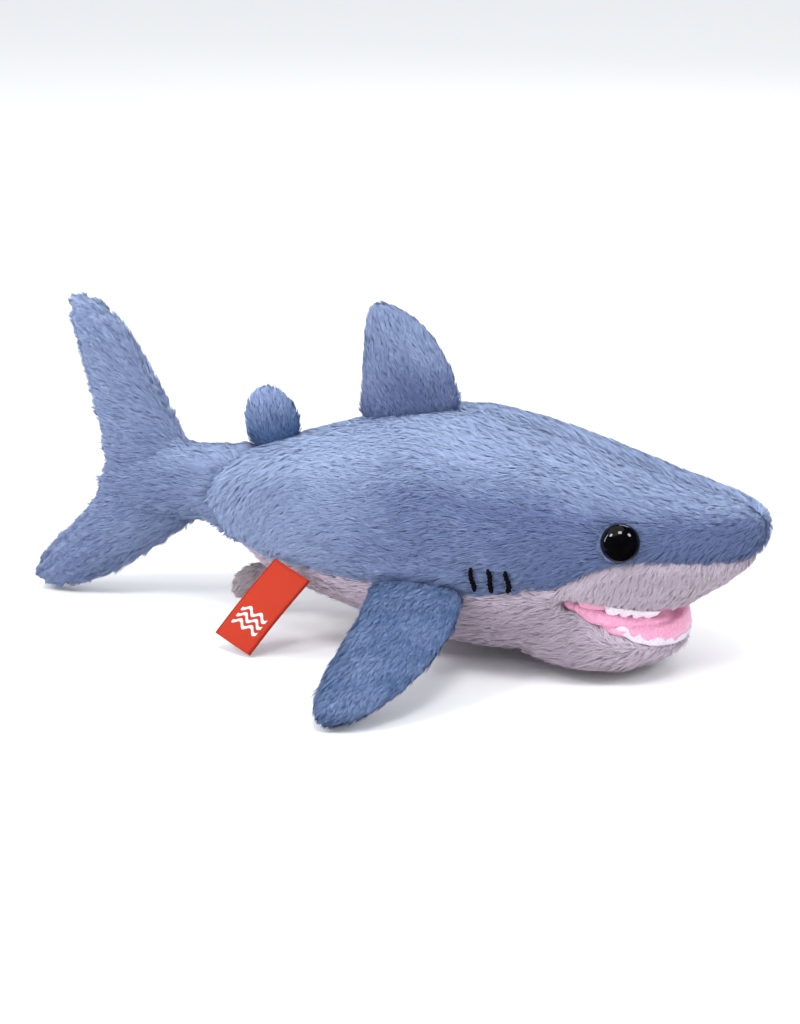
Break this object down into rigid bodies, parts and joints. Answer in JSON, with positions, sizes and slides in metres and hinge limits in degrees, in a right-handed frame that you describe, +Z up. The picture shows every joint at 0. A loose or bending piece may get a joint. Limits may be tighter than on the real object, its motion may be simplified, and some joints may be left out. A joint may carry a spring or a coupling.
{
  "type": "plush shark",
  "caption": "Small stuffed soft toy shark of short pile plush, with an open pink-lined mouth, felt teeth, domed eyes and soft fins that flex at their seams.",
  "frame": {"origin": "on the surface that the toy rests on, under the middle of its bounding box", "axes": "+X towards the nose, +Y towards the shark's left side, +Z up"},
  "size_m": [0.2099, 0.1408, 0.0888],
  "materials": {
    "blue_plush": "short pile plush, nap lying back, soft sheen",
    "grey_plush": "short pile plush, nap lying back",
    "pale_grey_plush": "short pile plush, brushed upright",
    "dark_grey_plush": "short pile plush",
    "pink_lining": "very short velvety nap",
    "white_felt": "thin matted felt, cut edge",
    "fibre_fill": "loose polyester fibre",
    "black_thread": "twisted embroidery thread",
    "red_ribbon": "woven satin ribbon",
    "eye_black": "polished dome",
    "washer_white": "plain moulded"
  },
  "bodies": {
    "torso": {"body_stuffing": "fibre_fill", "back_panel_left": "blue_plush", "back_panel_right": "blue_plush", "belly_panel": "grey_plush", "snout_panel": "pale_grey_plush", "palate_lining": "pink_lining", "upper_teeth_left": "white_felt", "upper_teeth_right": "white_felt", "eye_left": "eye_black", "eye_right": "eye_black", "eye_washer_left": "washer_white", "eye_washer_right": "washer_white", "gill_stitch_left_1": "black_thread", "gill_stitch_left_2": "black_thread", "gill_stitch_left_3": "black_thread", "gill_stitch_right_1": "black_thread", "gill_stitch_right_2": "black_thread", "gill_stitch_right_3": "black_thread"},
    "jaw": {"lower_jaw_panel": "grey_plush", "tongue_lining": "pink_lining", "jaw_stuffing": "fibre_fill", "lower_teeth": "white_felt"},
    "tail": {"tail_panel_left": "blue_plush", "tail_panel_right": "blue_plush", "tail_stuffing": "fibre_fill"},
    "dorsal_fin": {"dorsal_panel_left": "blue_plush", "dorsal_panel_right": "blue_plush", "dorsal_stuffing": "fibre_fill"},
    "rear_dorsal_fin": {"second_dorsal_panel_left": "blue_plush", "second_dorsal_panel_right": "blue_plush", "second_dorsal_stuffing": "fibre_fill"},
    "under_tail_fin": {"anal_fin_panel_left": "dark_grey_plush", "anal_fin_panel_right": "dark_grey_plush", "anal_fin_stuffing": "fibre_fill"},
    "left_pectoral_fin": {"pectoral_left_panel_upper": "blue_plush", "pectoral_left_panel_lower": "blue_plush", "pectoral_left_stuffing": "fibre_fill"},
    "right_pectoral_fin": {"pectoral_right_panel_upper": "blue_plush", "pectoral_right_panel_lower": "blue_plush", "pectoral_right_stuffing": "fibre_fill"},
    "ribbon": {"label": "red_ribbon"}
  },
  "joints": [
    {"name": "jaw_squeeze", "type": "hinge", "parent": "torso", "child": "jaw", "pos_m": [0.06, 0, 0.0232], "axis": [0, 1, 0], "range_deg": [-4, 8], "stiffness_Nm_per_rad": 0.3},
    {"name": "tail_swing", "type": "hinge", "parent": "torso", "child": "tail", "pos_m": [-0.047, 0, 0.035], "axis": [0, 0, 1], "range_deg": [-25, 25], "stiffness_Nm_per_rad": 0.03},
    {"name": "dorsal_flop", "type": "hinge", "parent": "torso", "child": "dorsal_fin", "pos_m": [0.009, 0, 0.0617], "axis": [0.9831, 0, 0.1831], "range_deg": [-30, 30], "stiffness_Nm_per_rad": 0.02},
    {"name": "second_dorsal_flop", "type": "hinge", "parent": "torso", "child": "rear_dorsal_fin", "pos_m": [-0.029, 0, 0.0508], "axis": [0.954, 0, 0.2998], "range_deg": [-30, 30], "stiffness_Nm_per_rad": 0.004},
    {"name": "anal_fin_flop", "type": "hinge", "parent": "torso", "child": "under_tail_fin", "pos_m": [-0.02825, 0, 0.0132], "axis": [0.8881, 0, -0.4597], "range_deg": [-30, 30], "stiffness_Nm_per_rad": 0.004},
    {"name": "pectoral_left_flap", "type": "hinge", "parent": "torso", "child": "left_pectoral_fin", "pos_m": [0.02175, 0.0304, 0.0232], "axis": [1, 0, 0], "range_deg": [-20, 45], "stiffness_Nm_per_rad": 0.05},
    {"name": "pectoral_right_flap", "type": "hinge", "parent": "torso", "child": "right_pectoral_fin", "pos_m": [0.02175, -0.0304, 0.0232], "axis": [-1, 0, 0], "range_deg": [-20, 45], "stiffness_Nm_per_rad": 0.05},
    {"name": "label_flip", "type": "hinge", "parent": "torso", "child": "ribbon", "pos_m": [-0.01478, -0.02205, 0.02166], "axis": [-0.9127, 0.2008, 0.3559], "range_deg": [0, 75], "stiffness_Nm_per_rad": 0.0005}
  ]
}
